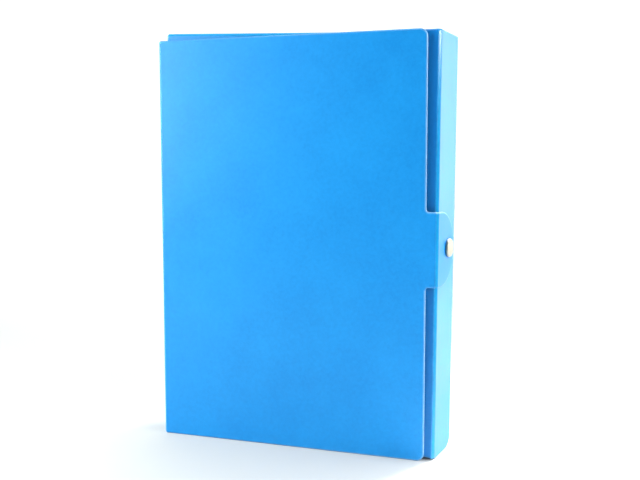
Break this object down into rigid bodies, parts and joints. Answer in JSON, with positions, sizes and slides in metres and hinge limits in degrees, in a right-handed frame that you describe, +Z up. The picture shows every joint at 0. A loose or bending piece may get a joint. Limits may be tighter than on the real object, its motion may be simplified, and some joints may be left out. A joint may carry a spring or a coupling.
{
  "type": "archival box",
  "caption": "Upright document box folded from blue laminated board: full cover, tucked dust flaps, and a tongue that snaps onto a press stud on the fore edge.",
  "frame": {"origin": "centre of the bottom wall's underside, on which the box stands", "axes": "+Z up along the height; -Y towards the cover; -X towards the spine; +X towards the fore edge with the tongue and press stud"},
  "size_m": [0.2578, 0.0495, 0.3618],
  "materials": {
    "blue_board": "gloss laminate, grey-white board at cut edges",
    "stud_nickel": "bright nickel plate",
    "spring_wire": "drawn wire"
  },
  "bodies": {
    "back": {"back_panel": "blue_board", "crease_back_spine": "blue_board", "crease_back_fore_edge": "blue_board", "crease_back_top": "blue_board", "crease_back_bottom": "blue_board"},
    "spine": {"spine_panel": "blue_board", "crease_spine_cover": "blue_board"},
    "cover": {"front_cover": "blue_board", "crease_cover_tongue": "blue_board"},
    "tongue": {"closing_tongue": "blue_board", "stud_cap": "stud_nickel", "stud_socket": "stud_nickel", "stud_spring": "spring_wire"},
    "fore_edge": {"fore_edge_wall": "blue_board", "crease_fore_edge_lip": "blue_board", "stud_male": "stud_nickel", "stud_post": "stud_nickel"},
    "fore_edge_flap": {"fore_edge_lip": "blue_board"},
    "top": {"top_wall": "blue_board", "crease_top_lip": "blue_board"},
    "top_flap": {"top_lip": "blue_board"},
    "bottom": {"bottom_wall": "blue_board", "crease_bottom_lip": "blue_board"},
    "bottom_flap": {"bottom_lip": "blue_board"}
  },
  "joints": [
    {"name": "spine_fold", "type": "hinge", "parent": "back", "child": "spine", "pos_m": [-0.11884, 0.01841, 0.177], "axis": [0, 0, -1], "range_deg": [0, 77.6], "deforming": ["crease_back_spine"]},
    {"name": "cover_open", "type": "hinge", "parent": "spine", "child": "cover", "pos_m": [-0.12854, -0.02571, 0.177], "axis": [0, 0, -1], "range_deg": [0, 102.4], "deforming": ["crease_spine_cover"]},
    {"name": "tongue_lift", "type": "hinge", "parent": "cover", "child": "tongue", "pos_m": [0.11539, -0.02571, 0.1773], "axis": [0, 0, -1], "range_deg": [0, 77.6], "deforming": ["crease_cover_tongue"]},
    {"name": "fore_edge_open", "type": "hinge", "parent": "back", "child": "fore_edge", "pos_m": [0.12284, 0.01841, 0.177], "axis": [0, 0, 1], "range_deg": [0, 102.4], "deforming": ["crease_back_fore_edge"]},
    {"name": "fore_edge_lip_open", "type": "hinge", "parent": "fore_edge", "child": "fore_edge_flap", "pos_m": [0.11432, -0.02031, 0.177], "axis": [0, 0, 1], "range_deg": [0, 77.6], "deforming": ["crease_fore_edge_lip"]},
    {"name": "top_open", "type": "hinge", "parent": "back", "child": "top", "pos_m": [-0.00549, 0.01841, 0.3513], "axis": [-1, 0, 0], "range_deg": [0, 90], "deforming": ["crease_back_top"]},
    {"name": "top_lip_open", "type": "hinge", "parent": "top", "child": "top_flap", "pos_m": [-0.12549, -0.01841, 0.3591], "axis": [-0.9992, 0, 0.0391], "range_deg": [0, 90], "deforming": ["crease_top_lip"]},
    {"name": "bottom_open", "type": "hinge", "parent": "back", "child": "bottom", "pos_m": [-0.00549, 0.01841, 0.0027], "axis": [1, 0, 0], "range_deg": [0, 90], "deforming": ["crease_back_bottom"]},
    {"name": "bottom_lip_open", "type": "hinge", "parent": "bottom", "child": "bottom_flap", "pos_m": [-0.00549, -0.01841, 0.0027], "axis": [1, 0, 0], "range_deg": [0, 90], "deforming": ["crease_bottom_lip"]}
  ],
  "couplings": [
    {"joint": "spine_fold", "follows": "cover_open", "ratio": 0.75781},
    {"joint": "fore_edge_open", "follows": "cover_open", "ratio": 1},
    {"joint": "fore_edge_lip_open", "follows": "cover_open", "ratio": 0.75781},
    {"joint": "top_open", "follows": "cover_open", "ratio": 0.8789},
    {"joint": "top_lip_open", "follows": "cover_open", "ratio": 0.8789},
    {"joint": "bottom_open", "follows": "cover_open", "ratio": 0.8789},
    {"joint": "bottom_lip_open", "follows": "cover_open", "ratio": 0.8789}
  ]
}
